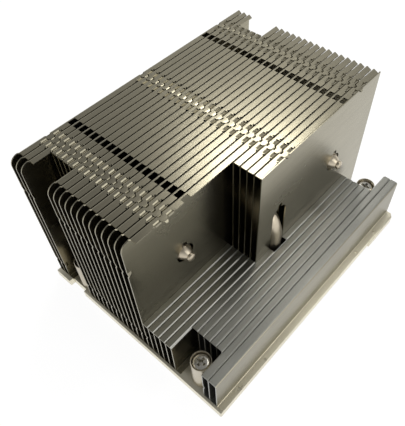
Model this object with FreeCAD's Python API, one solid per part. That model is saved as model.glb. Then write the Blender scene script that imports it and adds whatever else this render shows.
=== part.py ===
"""Passive server processor heatsink: a stack of folded sheet fins on a flat base plate,
three heat pipes, and four captive spring screws in cups at the corners.

Units are millimetres.  +X runs across the fins towards the low side of the stack, +Y runs
along the fins, +Z is up and the base plate stands on Z = 0, centred on the origin.
"""
import FreeCAD, Part
import math
import os

V = FreeCAD.Vector

# ---------------------------------------------------------------- driving dimensions
SHEET = 0.35               # thickness of the fin sheet
TALL_FINS = 20             # fins that are tall over their whole length
STEP_FINS = 5              # next fins, low at the front and tall behind the step
LOW_FINS = 7               # last fins, low over their whole length
WIDTH = 81.9               # whole width of the base plate, with its side tab
LENGTH = 104.1             # whole length of the base plate, with its front ear
HEIGHT = 61.2              # top of the tall fins
LOW_TOP = 20.2             # top of the low fins
BASE_THICK = 3.2           # base plate
SCREW_FRONT = 5.85         # front screws from the front of the base plate
SCREW_REAR = 4.25          # rear screws from the back of the base plate
PIPE_D = 6.0               # round heat pipe
PIPE_AXIS_Z = 36.0         # height of the pipes' upper legs
CUP_TOP = 15.7             # rim of a screw cup
OVER = 1.0                 # how far a cutting shape stands beyond what it cuts

# ---------------------------------------------------------------- fins
FINS = TALL_FINS + STEP_FINS + LOW_FINS
LEFT_MARGIN = 0.75         # base plate beyond the first fin
LEDGE = 2.65               # bottom flange of the last fin
TAB_OUT = 0.6              # side tab of the base plate beyond its main edge
LAST_EXTRA = 0.4           # the last gap is wider than the pitch by this
PITCH = (WIDTH - LEFT_MARGIN - LAST_EXTRA - LEDGE - TAB_OUT) / (FINS - 1)
SEAM = 0.12                # gap between a flange and the next fin
FIRST_FIN_X = -WIDTH / 2 + LEFT_MARGIN
BACK_Y = LENGTH / 2
FRONT_SETBACK = 1.5        # fins' front edges behind the ear of the base plate
FRONT_Y = -LENGTH / 2 + FRONT_SETBACK
CORNER_R = 3.0             # rounded top front corner of a tall fin
FLANGE_START = 3.6         # top flange starts behind the rounded corner
TAIL_CUT = 1.0             # cut on the back corner of each top flange
STEP_BACK = 40.5           # stepped fins are tall this far behind their front edges
STEP_Y = FRONT_Y + STEP_BACK
LEDGE_R = 0.9              # rounded corner of the last fin's bottom flange
WINDOW_LENGTH = 2.8        # gap in the top flanges
FRONT_WINDOW = 20.9        # first windows behind the fins' front edges
REAR_WINDOW = 21.5         # last windows before the fins' back edges
FRONT_WINDOW_Y = FRONT_Y + FRONT_WINDOW
REAR_WINDOW_Y = BACK_Y - REAR_WINDOW

# interlocks: a tooth on each top flange sits in a notch in the next fin's fold
FIRST_ROW = 13.75          # first row of teeth behind the fins' front edges
LAST_ROW = 11.85           # last row before the fins' back edges
ROWS = 3
ROW_STEP = (BACK_Y - LAST_ROW - FRONT_Y - FIRST_ROW) / (ROWS - 1)
TOOTH_WIDTH = 1.6          # at its root
TOOTH_TIP = 0.6
TOOTH_REACH = 0.75         # over the next fin, from that fin's face
TOOTH_CLEAR = 0.15         # between a tooth and its notch
NOTCH_TAIL = 0.45          # notch open beyond the tooth's tip

# ---------------------------------------------------------------- screws
LEFT_BAY = (4, 7)          # fins cut back for the left and the right screws
RIGHT_BAY = (26, 29)
LEFT_PLACE = 1.88          # screws from the first fin of their bay, in pitches
RIGHT_PLACE = 2.28
SCREW_YS = [-LENGTH / 2 + SCREW_FRONT, LENGTH / 2 - SCREW_REAR]
PATTERN_Y = sum(SCREW_YS) / 2
CUP_R = 3.4
GAP_FRONT_LEFT = 2.05      # between a cup and the end of a fin cut back for it
GAP_REAR_LEFT = 0.35
GAP_FRONT_RIGHT = 1.55
GAP_REAR_RIGHT = 2.15
CUP_BORE_R = 3.1
CUP_FLOOR = 0.8
HEAD_R = 2.85
HEAD_HEIGHT = 2.2
HEAD_CROWN = 0.7
HEAD_FLAT_R = 2.0
HEAD_DEPTH = 0.7           # top of the head below the rim of the cup
RECESS_ARM = 1.9
RECESS_FOOT = 0.63         # half width of an arm at the recess's floor
RECESS_LIP = 0.4
RECESS_WIDTH = 0.95
RECESS_DEPTH = 1.5
SHANK_R = 1.9
SHANK_CLEAR = 0.35         # round the shank, in the plate and in the cup's floor
TIP_Z = 0.5
TIP_CHAMFER = 0.3
CLIP_THICK = 0.6
CLIP_R = 3.3
CLIP_GAP = 0.25            # between the clip and the ceiling of its pocket
CLIP_MOUTH = 2.4
GROOVE_R = 1.4
GROOVE_CLEAR = 0.15        # clip to groove, all round
POCKET_R = 4.0
POCKET_DEPTH = 2.0
SPRING_WIRE_R = 0.28
SPRING_R = 2.52
SPRING_TURNS = 4.5
SPRING_STEPS = 8           # facets in each turn
WIRE_SIDES = 5

# how many flat sides stand for a round, where it repeats
SHANK_SIDES = 12
HEAD_SIDES = 20
CUP_SIDES = 22
BORE_SIDES = 18

# ---------------------------------------------------------------- heat pipes
PIPE_SPREAD = 30.4         # front and rear pipes from the middle one
PIPE_R = PIPE_D / 2
BEND_R = 12.0
BEND_STEPS = 5             # facets along each bend
PIPE_SIDES = 12
HOLE_CLEAR = 0.45          # fin hole round a pipe
HOLE_SIDES = 8             # inner fins' holes, few-sided
RELIEF_R = 1.1             # round solder relief over each hole
RELIEF_UP = 4.1
PIPE_STANDOUT = 3.2        # swaged end beyond the last fin it passes
TIP_CONE = 2.4
TIP_R = 1.3
PIPE_BULGE = 1.8           # middle bend beyond the outer tall fin
LEFT_BULGE = 0.6           # left bends beyond the first fin
FLAT_THICK = 2.4           # flattened leg in the base plate
FLAT_WIDTH = 8.2
LEG_LENGTH = 42.0
SLOT_CLEAR = 0.45          # fin slot beside a bend
FOOT_CLEAR = 0.4           # fin slot beside the flattened part of a bend
FOOT_RISE = 9.0
LEVEL_START = 1.0          # a fin this far into a bend still has a round hole
LOW_FOOT_RISE = 1.2        # the same, where the pipe is nearly level

# ---------------------------------------------------------------- base plate
FRONT_EDGE = 0.65          # main front edge behind the ear
EAR_WIDTH = 7.5
SCREW_CUT_WIDTH = 7.3
SCREW_CUT_DEPTH = 1.15
TAB_LENGTH = 17.3
TAB_CHAMFER = 0.8


# ---------------------------------------------------------------- helpers
def box(x0, x1, y0, y1, z0, z1):
    """A box between two corners."""
    return Part.makeBox(x1 - x0, y1 - y0, z1 - z0, V(x0, y0, z0))


def prism(points, direction):
    """A straight prism on a closed polygon."""
    return outline([V(*p) for p in points]).extrude(direction)


def ring(centre, along, across, wide, thick, sides):
    """Points round a centre, with half axes wide and thick."""
    turns = [2 * math.pi * i / sides for i in range(sides)]
    return [centre + along * (wide * math.cos(t)) + across * (thick * math.sin(t)) for t in turns]


def outline(points):
    """A flat face on a closed outline."""
    return Part.Face(Part.makePolygon(points + points[:1]))


def skinned(rings):
    """A solid with flat facets through many-sided rings."""
    faces = [outline(rings[0]), outline(rings[-1])]
    for first, second in zip(rings, rings[1:]):
        for i, corner in enumerate(first):
            after = (i + 1) % len(first)
            faces.append(outline([corner, first[after], second[after]]))
            faces.append(outline([corner, second[after], second[i]]))
    shell = Part.makeShell(faces)
    shell.sewShape()
    solid = Part.makeSolid(shell)
    if solid.Volume < 0:
        solid.reverse()
    return solid.removeSplitter()


def bar(stations, sides):
    """A many-sided bar on Z from (radius, height) stations."""
    return skinned([ring(V(0, 0, z), V(1, 0, 0), V(0, 1, 0), r, r, sides) for r, z in stations])


def fin_x(number):
    """Left face of a fin, counted from 1."""
    x = FIRST_FIN_X + (number - 1) * PITCH
    if number == FINS:
        x += LAST_EXTRA
    return x


def in_bay(number, bay):
    """True for the fins of a bay."""
    return bay[0] <= number <= bay[1]


OUTER_TALL_X = fin_x(TALL_FINS + STEP_FINS)
PIPE_YS = [PATTERN_Y - PIPE_SPREAD, PATTERN_Y, PATTERN_Y + PIPE_SPREAD]
LEFT_BEND_X = FIRST_FIN_X - LEFT_BULGE + PIPE_R
RIGHT_BEND_X = OUTER_TALL_X + PIPE_BULGE - PIPE_R
FLAT_Z = BASE_THICK - FLAT_THICK / 2
SCREW_XS = [fin_x(LEFT_BAY[0]) + LEFT_PLACE * PITCH, fin_x(RIGHT_BAY[0]) + RIGHT_PLACE * PITCH]
CUP_ENDS = [SCREW_YS[0] + CUP_R, SCREW_YS[1] - CUP_R]
LEFT_NOTCH = (CUP_ENDS[0] + GAP_FRONT_LEFT, CUP_ENDS[1] - GAP_REAR_LEFT)
RIGHT_NOTCH = (CUP_ENDS[0] + GAP_FRONT_RIGHT, CUP_ENDS[1] - GAP_REAR_RIGHT)
ROW_YS = [FRONT_Y + FIRST_ROW + i * ROW_STEP for i in range(ROWS)]


# ---------------------------------------------------------------- fins
def pipe_opening(x, y, bend_x, side, shown):
    """What a fin at x loses to the pipe at y, whose bend is at bend_x on the given side.

    The pipe passes as a round hole where it is level and as a slot down to the plate
    where it bends.  A hole or slot that shows is round and has its solder relief.
    """
    inwards = (bend_x - x) * side
    z = PIPE_AXIS_Z
    radius = PIPE_R + HOLE_CLEAR
    foot = FLAT_WIDTH / 2 + FOOT_CLEAR
    openings = []
    if inwards < BEND_R - LEVEL_START:
        half = PIPE_R + SLOT_CLEAR
        openings.append(box(x - OVER, x + PITCH, y - half, y + half, 0, z + radius))
        openings.append(box(x - OVER, x + PITCH, y - foot, y + foot, 0, BASE_THICK + FOOT_RISE))
    elif shown:
        openings.append(Part.makeCylinder(radius, PITCH, V(x - OVER, y, z), V(1, 0, 0)))
    else:
        hole = ring(V(x - OVER, y, z), V(0, 1, 0), V(0, 0, 1), radius, radius, HOLE_SIDES)
        openings.append(outline(hole).extrude(V(PITCH, 0, 0)))
    if shown:
        place = V(x - OVER, y, z + RELIEF_UP)
        openings.append(Part.makeCylinder(RELIEF_R, PITCH, place, V(1, 0, 0)))
    if BEND_R - LEVEL_START <= inwards < BEND_R + PITCH:
        openings.append(box(x - OVER, x + PITCH, y - foot, y + foot, 0, BASE_THICK + LOW_FOOT_RISE))
    return openings


def tall_web(x, y0, top):
    """Upright sheet with its top front corner rounded."""
    bottom = BASE_THICK
    mid = CORNER_R * (1 - math.sqrt(0.5))
    edges = [
        Part.makeLine(V(x, y0, bottom), V(x, y0, top - CORNER_R)),
        Part.Arc(V(x, y0, top - CORNER_R), V(x, y0 + mid, top - mid),
                 V(x, y0 + CORNER_R, top)).toShape(),
        Part.makeLine(V(x, y0 + CORNER_R, top), V(x, BACK_Y, top)),
        Part.makeLine(V(x, BACK_Y, top), V(x, BACK_Y, bottom)),
        Part.makeLine(V(x, BACK_Y, bottom), V(x, y0, bottom)),
    ]
    return Part.Face(Part.Wire(edges)).extrude(V(SHEET, 0, 0))


def top_flange(x, y0, windows):
    """Flange folded to the right along the top, open at its windows."""
    x1 = x + PITCH - SEAM
    z0 = HEIGHT - SHEET
    corners = [(x, y0, z0), (x1, y0, z0), (x1, BACK_Y - TAIL_CUT, z0),
               (x1 - TAIL_CUT, BACK_Y, z0), (x, BACK_Y, z0)]
    flange = prism(corners, V(0, 0, SHEET))
    for y in windows:
        flange = flange.cut(box(x + SHEET, x1 + OVER, y, y + WINDOW_LENGTH, z0 - OVER, HEIGHT + OVER))
    return flange


def tooth(x, y):
    """Tooth on the edge of a top flange that reaches over the next fin."""
    root = x + PITCH - SEAM - SHEET
    tip = x + PITCH + TOOTH_REACH
    half = TOOTH_WIDTH / 2
    end = TOOTH_TIP / 2
    z = HEIGHT - SHEET
    return prism([(root, y - half, z), (x + PITCH - SEAM, y - half, z), (tip, y - end, z),
                  (tip, y + end, z), (x + PITCH - SEAM, y + half, z), (root, y + half, z)],
                 V(0, 0, SHEET))


def tooth_notch(x, y):
    """Notch in the fold of a fin at x that takes the tooth of the fin before it."""
    tail = x + TOOTH_REACH + NOTCH_TAIL
    half = TOOTH_WIDTH / 2 + TOOTH_CLEAR
    end = TOOTH_TIP / 2 + TOOTH_CLEAR
    z = HEIGHT - SHEET - TOOTH_CLEAR
    return prism([(x - OVER, y - half, z), (x, y - half, z), (tail, y - end, z),
                  (tail, y + end, z), (x, y + half, z), (x - OVER, y + half, z)], V(0, 0, OVER))


def low_flange(x, y0, y1):
    """Flange folded to the left along the top of a low fin."""
    reach = x - PITCH + SHEET + SEAM
    if x > fin_x(FINS - 1):
        reach = fin_x(FINS - 1) + SHEET + SEAM
    return box(reach, x + SHEET, y0, y1, LOW_TOP - SHEET, LOW_TOP)


def bottom_flange(number, y0, y1):
    """Flange folded to the right along the bottom, on the base plate."""
    x = fin_x(number)
    if number < FINS:
        return box(x, fin_x(number + 1) - SEAM, y0, y1, BASE_THICK, BASE_THICK + SHEET)
    x1 = WIDTH / 2 - TAB_OUT
    ledge = box(x, x1, y0, y1, BASE_THICK, BASE_THICK + SHEET)
    corner = [edge for edge in ledge.Edges
              if edge.Vertexes[0].X > x1 - 0.01 and edge.Vertexes[1].X > x1 - 0.01
              and abs(edge.Vertexes[0].Z - edge.Vertexes[1].Z) > 0.01]
    return ledge.makeFillet(LEDGE_R, corner)


def fin_ends(number):
    """Front and back of a fin, cut back where it would meet the cups."""
    if in_bay(number, LEFT_BAY):
        return LEFT_NOTCH
    if in_bay(number, RIGHT_BAY):
        return RIGHT_NOTCH
    return FRONT_Y, BACK_Y


def fin(number):
    """One stamped fin, with its flanges, notches and openings for the pipes."""
    x = fin_x(number)
    y0, y1 = fin_ends(number)
    if number <= TALL_FINS + STEP_FINS:
        body = tall_fin(number, x, y0, y1)
    else:
        body = low_fin(number, x, y0, y1)
    body = body.fuse(bottom_flange(number, y0, y1))

    if number <= TALL_FINS + STEP_FINS:
        for y in PIPE_YS:
            middle = y == PIPE_YS[1]
            bend_x = RIGHT_BEND_X if middle else LEFT_BEND_X
            side = 1 if middle else -1
            front_ends = y == PIPE_YS[0] and number == TALL_FINS
            outside = number == TALL_FINS + STEP_FINS
            if y > PIPE_YS[0] or number <= TALL_FINS:
                body = body.cut(pipe_opening(x, y, bend_x, side, outside or front_ends))
    return body.removeSplitter()


def tall_fin(number, x, y0, y1):
    """Web and upper flanges of a fin that is tall, at least behind the step."""
    stepped = number > TALL_FINS
    web = tall_web(x, FRONT_Y, HEIGHT)
    flange_y = FRONT_Y + FLANGE_START
    windows = [FRONT_WINDOW_Y, REAR_WINDOW_Y]
    if stepped:
        web = web.cut(box(x - OVER, x + OVER, FRONT_Y - OVER, STEP_Y, LOW_TOP, HEIGHT + OVER))
        web = web.fuse(low_flange(x, FRONT_Y, STEP_Y))
        flange_y = STEP_Y
        windows = [REAR_WINDOW_Y]
    body = web
    rows = [y for y in ROW_YS if y > flange_y]
    if number < TALL_FINS + STEP_FINS:
        body = body.fuse([top_flange(x, flange_y, windows)] + [tooth(x, y) for y in rows])
    body = body.cut([tooth_notch(x, y) for y in rows])
    if y0 > FRONT_Y:
        body = body.cut(box(x - OVER, x + PITCH, FRONT_Y - OVER, y0, 0, HEIGHT + OVER))
        body = body.cut(box(x - OVER, x + PITCH, y1, BACK_Y + OVER, 0, HEIGHT + OVER))
    return body


def low_fin(number, x, y0, y1):
    """Web and upper flange of a fin that is low over its whole length."""
    web = box(x, x + SHEET, y0, y1, BASE_THICK, LOW_TOP)
    flange = low_flange(x, y0, y1)
    if in_bay(number - 1, RIGHT_BAY):
        flange = low_flange(x, *RIGHT_NOTCH)
    if number == TALL_FINS + STEP_FINS + 1:
        half = PIPE_R + SLOT_CLEAR
        notch = box(x - PITCH, x - SEAM, PATTERN_Y - half, PATTERN_Y + half, 0, HEIGHT)
        flange = flange.cut(notch)
    return web.fuse(flange)


# ---------------------------------------------------------------- heat pipes
def pipe(y, bend_x, side, end_x):
    """Heat pipe: upper leg, upright bend, and a leg flattened into the base plate.

    side is +1 where the bend is on the right, and end_x is the tip of the upper leg.
    """
    inner_x = bend_x - side * BEND_R
    upper_z = PIPE_AXIS_Z - BEND_R
    lower_z = FLAT_Z + BEND_R
    rings = [
        pipe_ring(end_x, y, PIPE_AXIS_Z, math.pi / 2, side, TIP_R, TIP_R),
        pipe_ring(end_x + side * TIP_CONE, y, PIPE_AXIS_Z, math.pi / 2, side, PIPE_R, PIPE_R),
    ]
    for i in range(BEND_STEPS, -1, -1):
        turn = math.pi / 2 * i / BEND_STEPS
        x = inner_x + side * BEND_R * math.cos(turn)
        z = upper_z + BEND_R * math.sin(turn)
        rings.append(pipe_ring(x, y, z, turn, side, PIPE_R, PIPE_R))
    for i in range(BEND_STEPS + 1):
        share = i / BEND_STEPS
        turn = -math.pi / 2 * share
        x = inner_x + side * BEND_R * math.cos(turn)
        z = lower_z + BEND_R * math.sin(turn)
        wide = PIPE_R + (FLAT_WIDTH / 2 - PIPE_R) * share
        thick = PIPE_R + (FLAT_THICK / 2 - PIPE_R) * share
        rings.append(pipe_ring(x, y, z, turn, side, wide, thick))
    leg_end = inner_x - side * LEG_LENGTH
    rings.append(pipe_ring(leg_end, y, FLAT_Z, -math.pi / 2, side, FLAT_WIDTH / 2, FLAT_THICK / 2))
    return skinned(rings)


def pipe_ring(x, y, z, turn, side, wide, thick):
    """One section of a pipe, square to its run at that turn of the bend."""
    across = V(side * math.cos(turn), 0, math.sin(turn))
    return ring(V(x, y, z), V(0, 1, 0), across, wide, thick, PIPE_SIDES)


# ---------------------------------------------------------------- base plate
def base_plate():
    """Flat plate with holes and clip pockets for the screws and grooves for the pipes."""
    left = -WIDTH / 2
    right = WIDTH / 2
    front = -LENGTH / 2
    edge = front + FRONT_EDGE
    ear = left + EAR_WIDTH
    cut_end = ear + SCREW_CUT_WIDTH
    cut = front + FRONT_EDGE + SCREW_CUT_DEPTH
    side = right - TAB_OUT
    tab = BACK_Y - TAB_LENGTH
    corners = [
        (left, front, 0), (ear, front, 0), (ear, cut, 0), (cut_end, cut, 0),
        (cut_end + TAB_OUT, edge, 0), (side, edge, 0), (side, tab, 0), (right, tab + TAB_OUT, 0),
        (right, BACK_Y - TAB_CHAMFER, 0), (right - TAB_CHAMFER, BACK_Y, 0), (left, BACK_Y, 0),
    ]
    plate = prism(corners, V(0, 0, BASE_THICK))
    for x in SCREW_XS:
        for y in SCREW_YS:
            hole = SHANK_R + SHANK_CLEAR
            bore = bar([(hole, -OVER), (hole, BASE_THICK + OVER)], BORE_SIDES)
            pocket = bar([(POCKET_R, -OVER), (POCKET_R, POCKET_DEPTH)], BORE_SIDES)
            bore = bore.fuse(pocket)
            bore.translate(V(x, y, 0))
            plate = plate.cut(bore)
    for y in PIPE_YS:
        on_right = y == PIPE_YS[1]
        direction = -1 if on_right else 1
        bend_x = RIGHT_BEND_X if on_right else LEFT_BEND_X
        plate = plate.cut(groove(y, bend_x, direction))
    return plate


def groove(y, bend_x, direction):
    """Open groove in the plate for a flattened leg and the bottom of its bend."""
    start = bend_x - direction * (PIPE_R + SLOT_CLEAR)
    leg_end = bend_x + direction * (BEND_R + LEG_LENGTH)
    half = FLAT_WIDTH / 2
    section = ring(V(start, y, FLAT_Z), V(0, 1, 0), V(0, 0, 1), half, FLAT_THICK / 2, PIPE_SIDES)
    channel = outline(section).extrude(V(leg_end - start, 0, 0))
    x0 = min(start, leg_end)
    x1 = max(start, leg_end)
    return channel.fuse(box(x0, x1, y - half, y + half, FLAT_Z, BASE_THICK + OVER))


# ---------------------------------------------------------------- screws
def screw_cup():
    """Round cup on the plate that holds a screw and its spring."""
    hole = SHANK_R + SHANK_CLEAR
    cup = bar([(CUP_R, BASE_THICK), (CUP_R, CUP_TOP)], CUP_SIDES)
    inside = bar([(CUP_BORE_R, BASE_THICK + CUP_FLOOR), (CUP_BORE_R, CUP_TOP + OVER)], CUP_SIDES)
    return cup.cut(inside.fuse(bar([(hole, 0), (hole, CUP_TOP)], BORE_SIDES)))


HEAD_TOP = CUP_TOP - HEAD_DEPTH
HEAD_UNDER = HEAD_TOP - HEAD_HEIGHT
CLIP_TOP = POCKET_DEPTH - CLIP_GAP
CLIP_UNDER = CLIP_TOP - CLIP_THICK


def screw():
    """Pan head screw with a cross recess and a groove for its clip."""
    head = bar([(HEAD_R, HEAD_UNDER), (HEAD_R, HEAD_TOP - HEAD_CROWN), (HEAD_FLAT_R, HEAD_TOP)],
               HEAD_SIDES)
    groove_top = CLIP_TOP + GROOVE_CLEAR
    groove_bottom = CLIP_UNDER - GROOVE_CLEAR
    lower = bar([(SHANK_R - TIP_CHAMFER, TIP_Z), (SHANK_R, groove_bottom)], SHANK_SIDES)
    neck = bar([(GROOVE_R, groove_bottom), (GROOVE_R, groove_top)], SHANK_SIDES)
    shank = bar([(SHANK_R, groove_top), (SHANK_R, HEAD_UNDER)], SHANK_SIDES)
    body = head.fuse([shank, neck, lower])
    half = RECESS_WIDTH / 2
    foot = RECESS_FOOT
    lip = HEAD_TOP - RECESS_LIP
    floor = HEAD_TOP - RECESS_DEPTH
    over = HEAD_TOP + OVER
    arm = prism([(-RECESS_ARM, -half, over), (-RECESS_ARM, -half, lip), (-foot, -half, floor),
                 (foot, -half, floor), (RECESS_ARM, -half, lip), (RECESS_ARM, -half, over)],
                V(0, RECESS_WIDTH, 0))
    other = arm.copy()
    other.rotate(V(0, 0, 0), V(0, 0, 1), 90)
    return body.cut(arm.fuse(other))


def retaining_clip():
    """Open ring in the screw's groove."""
    inner = GROOVE_R + GROOVE_CLEAR
    clip = bar([(CLIP_R, CLIP_UNDER), (CLIP_R, CLIP_TOP)], SHANK_SIDES)
    clip = clip.cut(bar([(inner, 0), (inner, POCKET_DEPTH)], SHANK_SIDES))
    half = CLIP_MOUTH / 2
    return clip.cut(box(0, CLIP_R + OVER, -half, half, 0, POCKET_DEPTH))


def spring():
    """Coil between the floor of the cup and the head of the screw."""
    z0 = BASE_THICK + CUP_FLOOR + SPRING_WIRE_R
    z1 = HEAD_UNDER - SPRING_WIRE_R
    steps = round(SPRING_TURNS * SPRING_STEPS)
    rings = []
    for i in range(steps + 1):
        turn = 2 * math.pi * i / SPRING_STEPS
        outwards = V(math.cos(turn), math.sin(turn), 0)
        centre = outwards * SPRING_R + V(0, 0, z0 + (z1 - z0) * i / steps)
        rings.append(ring(centre, outwards, V(0, 0, 1), SPRING_WIRE_R, SPRING_WIRE_R, WIRE_SIDES))
    return skinned(rings)


# ---------------------------------------------------------------- output
def save(name, shape):
    """Write one node."""
    shape.exportStep("parts/" + name + ".step")


def main():
    os.makedirs("parts", exist_ok=True)
    save("base_plate", base_plate())
    for number in range(1, FINS + 1):
        save("fin_%02d" % number, fin(number))

    front_end = fin_x(TALL_FINS) + SHEET + PIPE_STANDOUT
    rear_end = OUTER_TALL_X + SHEET + PIPE_STANDOUT
    middle_end = FIRST_FIN_X - LEFT_BULGE
    save("heat_pipe_front", pipe(PIPE_YS[0], LEFT_BEND_X, -1, front_end))
    save("heat_pipe_middle", pipe(PIPE_YS[1], RIGHT_BEND_X, 1, middle_end))
    save("heat_pipe_rear", pipe(PIPE_YS[2], LEFT_BEND_X, -1, rear_end))

    for along, y in zip(("front", "rear"), SCREW_YS):
        for across, x in zip(("left", "right"), SCREW_XS):
            place = "_" + along + "_" + across
            pieces = {"captive_screw": screw(), "retaining_clip": retaining_clip(),
                      "screw_cup": screw_cup(), "screw_spring": spring()}
            for name, shape in pieces.items():
                shape.translate(V(x, y, 0))
                save(name + place, shape)


main()
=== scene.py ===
import math

import bmesh
import bpy
from mathutils import Matrix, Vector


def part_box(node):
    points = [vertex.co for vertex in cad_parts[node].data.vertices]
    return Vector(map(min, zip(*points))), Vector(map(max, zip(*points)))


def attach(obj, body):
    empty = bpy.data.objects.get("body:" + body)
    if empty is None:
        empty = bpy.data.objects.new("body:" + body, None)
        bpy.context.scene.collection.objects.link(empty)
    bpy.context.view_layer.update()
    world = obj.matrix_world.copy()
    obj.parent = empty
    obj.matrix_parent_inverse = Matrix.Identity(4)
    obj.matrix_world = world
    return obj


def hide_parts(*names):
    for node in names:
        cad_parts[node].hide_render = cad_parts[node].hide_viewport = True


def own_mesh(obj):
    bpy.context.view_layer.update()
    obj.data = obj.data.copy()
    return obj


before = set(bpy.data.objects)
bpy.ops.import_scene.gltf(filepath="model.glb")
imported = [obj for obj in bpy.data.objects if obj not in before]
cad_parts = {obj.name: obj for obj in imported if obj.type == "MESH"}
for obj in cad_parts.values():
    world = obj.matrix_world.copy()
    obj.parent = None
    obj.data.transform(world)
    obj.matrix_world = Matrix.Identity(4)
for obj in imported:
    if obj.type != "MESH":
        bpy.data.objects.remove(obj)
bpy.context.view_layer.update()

bl_info = {
    "name": "Server heatsink",
    "version": (1, 0, 0),
    "blender": (4, 5, 0),
    "location": "3D View > Sidebar > Heatsink",
    "description": "Builds a passive server heatsink with fins, heat pipes and captive screws",
    "category": "Object",
}

# Pieces are shaped in millimetres and brought to metres when they are finished.
# A cutter stands a millimetre or so past the faces it cuts, so no two faces coincide.
MM = 0.001


def low(node):
    """Lowest corner of a CAD node, in millimetres."""
    return [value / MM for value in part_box(node)[0]]


def high(node):
    """Highest corner of a CAD node, in millimetres."""
    return [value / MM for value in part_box(node)[1]]


def axis_of(node):
    """Middle of a CAD node seen from above, in millimetres."""
    return [(low(node)[i] + high(node)[i]) / 2 for i in (0, 1)]


# ---------------------------------------------------------------- sizes of the stack
# Fins are counted from 1 on the left: tall ones, then stepped ones, then low ones.
TALL_FINS = 20
STEPPED_FINS = 5
FINS = 32
LAST_TALL = TALL_FINS + STEPPED_FINS
LEFT_NOTCH = range(4, 8)
RIGHT_NOTCH = range(26, 30)
FIRST_X = low("fin_01")[0]
PITCH = low("fin_02")[0] - FIRST_X
# Distance from the last fin but one to the last.
LAST_GAP = 2.9
FRONT = low("fin_01")[1]
BACK = high("fin_01")[1]
TOP = high("fin_01")[2]
LOW_TOP = high("fin_30")[2]
PLATE_TOP = high("base_plate")[2]
# Where the tall part of a stepped fin and the flange of a tall fin start.
STEP_Y = FRONT + 40.5
FLANGE_START = FRONT + 3.6
# Rounding of a tall fin's front corner, slope of its flange's back end, and edge jogs.
CORNER_R = 3.0
CORNER_SLOPE = 1.0
HIGH_JOG = TOP - 13.0
LOW_JOG = PLATE_TOP + 7.5

# Windows cut through the tall flanges, and rows of interlocks along them.
WINDOWS = (FRONT + 20.9, FRONT + 81.1)
WINDOW_LENGTH = 2.8
FIRST_ROW = 13.75
ROW_STEP = 38.5
ROWS = tuple(FRONT + FIRST_ROW + ROW_STEP * i for i in range(3))

# Heat pipes: round above, bent down, and flattened into the base plate.
PIPES = {name: axis_of(name)[1]
         for name in ("heat_pipe_front", "heat_pipe_middle", "heat_pipe_rear")}
PIPE_R = 3.0
PIPE_GAP = 0.45
FLAT_HALF_HEIGHT = 1.2
FLAT_HALF_WIDTH = 4.1
FLAT_LEG = 42.0
PIPE_Z = high("heat_pipe_front")[2] - PIPE_R
PIPE_FLAT_Z = low("heat_pipe_front")[2] + FLAT_HALF_HEIGHT
BEND_R = 12.0
LEFT_BEND_X = low("heat_pipe_front")[0] + PIPE_R
RIGHT_BEND_X = high("heat_pipe_middle")[0] - PIPE_R
# Distance from the tip and radius there, along a swaged end.
PIPE_TIP = ((0.0, 0.9), (0.35, 1.45), (0.9, 1.6), (1.3, 1.3), (1.8, 1.75), (2.7, 2.35),
            (3.6, 2.8), (4.4, 3.0))
PIPE_ENDS = {
    "heat_pipe_front": high("heat_pipe_rear")[0] - STEPPED_FINS * PITCH,
    "heat_pipe_middle": low("heat_pipe_middle")[0],
    "heat_pipe_rear": high("heat_pipe_rear")[0],
}
CORNERS = ("front_left", "front_right", "rear_left", "rear_right")
SCREW_HOLE_R = 2.25

# Each light: its name, place, the point it faces, its width and depth, and its colour.
LIGHTS = (
    ("window", (-0.219, 0.310, 0.48), (0.01, 0, 0.06), (0.14, 0.06), (1.0, 0.98, 0.93)),
    ("lamp", (0.04, 0.29, 0.57), (0.03, 0, 0.03), (0.25, 0.15), (1.0, 0.98, 0.93)),
    ("side", (0.55, 0.05, 0.35), (0, 0, 0.03), (0.5, 0.5), (1.0, 0.99, 0.97)),
)


# ---------------------------------------------------------------- settings
class FinSettings(bpy.types.PropertyGroup):
    """Sizes of the folded sheet"""
    sheet: bpy.props.FloatProperty(
        name="Sheet", description="Thickness of the fin sheet, in millimetres", default=0.35)
    seam: bpy.props.FloatProperty(
        name="Seam", description="Gap between a flange and the next fin, in millimetres",
        default=0.12)
    low_seam: bpy.props.FloatProperty(
        name="Low seam",
        description="Gap between a low flange and the fin before it, in millimetres",
        default=0.05)
    fold: bpy.props.FloatProperty(
        name="Fold", description="Outer radius of a fold, in millimetres", default=0.5)
    tab_width: bpy.props.FloatProperty(
        name="Tab width", description="Width of the bent tabs of an interlock, in millimetres",
        default=0.75)
    tab_drop: bpy.props.FloatProperty(
        name="Tab drop", description="How far a tab is bent down, in millimetres", default=0.32)
    low_fold: bpy.props.FloatProperty(
        name="Low fold", description="Outer radius of the folds of the low fins, in millimetres",
        default=0.75)
    window_bar: bpy.props.FloatProperty(
        name="Window bar", description="Fold left standing beside each window, in millimetres",
        default=0.85)
    jog: bpy.props.FloatProperty(
        name="Jog", description="Sideways jog in a front edge, in millimetres", default=0.55)


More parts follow.
